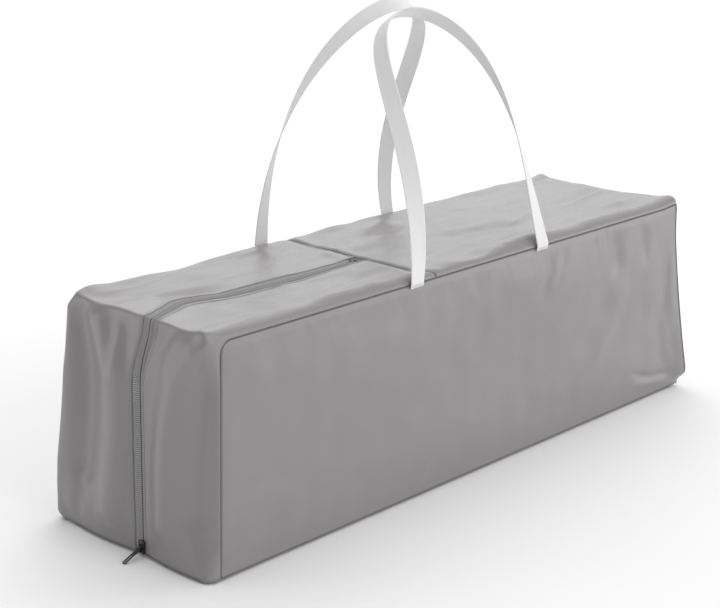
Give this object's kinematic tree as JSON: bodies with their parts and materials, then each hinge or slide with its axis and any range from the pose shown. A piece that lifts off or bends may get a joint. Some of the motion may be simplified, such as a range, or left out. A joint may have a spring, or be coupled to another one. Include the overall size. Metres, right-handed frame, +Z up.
{
  "type": "folded playpen in carry bag",
  "caption": "Folding playpen packed in a long box-shaped zipped carry bag of grey cloth, with two tall white webbing handles.",
  "frame": {"origin": "middle of the bag's base, on the surface it stands on", "axes": "+X along the bag, away from the zipped end; +Y across it, towards the back handle; +Z up"},
  "size_m": [0.8452, 0.2512, 0.5344],
  "materials": {
    "bag_cloth": "plain woven cloth, soft sheen",
    "seam_binding": "folded cloth binding",
    "zip_tape": "ribbed woven tape",
    "zip_coil": "spun coil, satin",
    "zip_metal": "black enamel, semi-gloss",
    "webbing": "flat woven webbing",
    "mattress_cover": "quilted cover",
    "pack_strap": "hook-and-loop strap",
    "moulding": "fine grain",
    "frame_tube": "satin",
    "mesh_wall": "open knitted mesh, folded"
  },
  "bodies": {
    "bag": {"side_panel_front": "bag_cloth", "side_panel_back": "bag_cloth", "closed_gusset": "bag_cloth", "zip_gusset_front": "bag_cloth", "zip_gusset_back": "bag_cloth", "base_panel": "bag_cloth", "seam_binding_front": "seam_binding", "seam_binding_back": "seam_binding", "cross_seam": "seam_binding", "zip_end_tab": "seam_binding", "zip_tape_front": "zip_tape", "zip_tape_back": "zip_tape", "zip_coil_front": "zip_coil", "zip_coil_back": "zip_coil", "zip_bottom_stop": "zip_metal", "zip_top_stop": "zip_metal", "handle_feet_front": "webbing", "handle_feet_back": "webbing", "mattress_panel_base": "mattress_cover", "mattress_panel_front": "mattress_cover", "mattress_panel_top": "mattress_cover", "mattress_panel_back": "mattress_cover", "mattress_strap_left": "pack_strap", "mattress_strap_right": "pack_strap", "corner_cap_1": "moulding", "corner_foot_1": "moulding", "rail_lock_1": "moulding", "corner_post_1": "frame_tube", "floor_leg_1": "frame_tube", "top_rail_1_long_half": "frame_tube", "top_rail_1_short_half": "frame_tube", "corner_cap_2": "moulding", "corner_foot_2": "moulding", "rail_lock_2": "moulding", "corner_post_2": "frame_tube", "floor_leg_2": "frame_tube", "top_rail_2_long_half": "frame_tube", "top_rail_2_short_half": "frame_tube", "corner_cap_3": "moulding", "corner_foot_3": "moulding", "rail_lock_3": "moulding", "corner_post_3": "frame_tube", "floor_leg_3": "frame_tube", "top_rail_3_long_half": "frame_tube", "top_rail_3_short_half": "frame_tube", "corner_cap_4": "moulding", "corner_foot_4": "moulding", "rail_lock_4": "moulding", "corner_post_4": "frame_tube", "floor_leg_4": "frame_tube", "top_rail_4_long_half": "frame_tube", "top_rail_4_short_half": "frame_tube", "floor_hub": "moulding", "folded_mesh_walls": "mesh_wall"},
    "zip_slider": {"zip_slider": "zip_metal"},
    "zip_pull": {"zip_pull": "zip_metal"},
    "front_handle": {"handle_front": "webbing"},
    "back_handle": {"handle_back": "webbing"}
  },
  "joints": [
    {"name": "zip_travel", "type": "slide", "parent": "bag", "child": "zip_slider", "axis": [0.0819, 0.0585, 0.9949], "range_m": [0, 0.165]},
    {"name": "zip_pull_swing", "type": "hinge", "parent": "zip_slider", "child": "zip_pull", "pos_m": [-0.41197, -0.01891, 0.01018], "axis": [-0.0048, 0.9983, -0.0583], "range_deg": [0, 100]},
    {"name": "front_handle_swing", "type": "hinge", "parent": "bag", "child": "front_handle", "pos_m": [0, -0.11705, 0.2495], "axis": [1, 0, 0], "range_deg": [0, 160]},
    {"name": "back_handle_swing", "type": "hinge", "parent": "bag", "child": "back_handle", "pos_m": [0, 0.11705, 0.2495], "axis": [-1, 0, 0], "range_deg": [0, 160]}
  ]
}
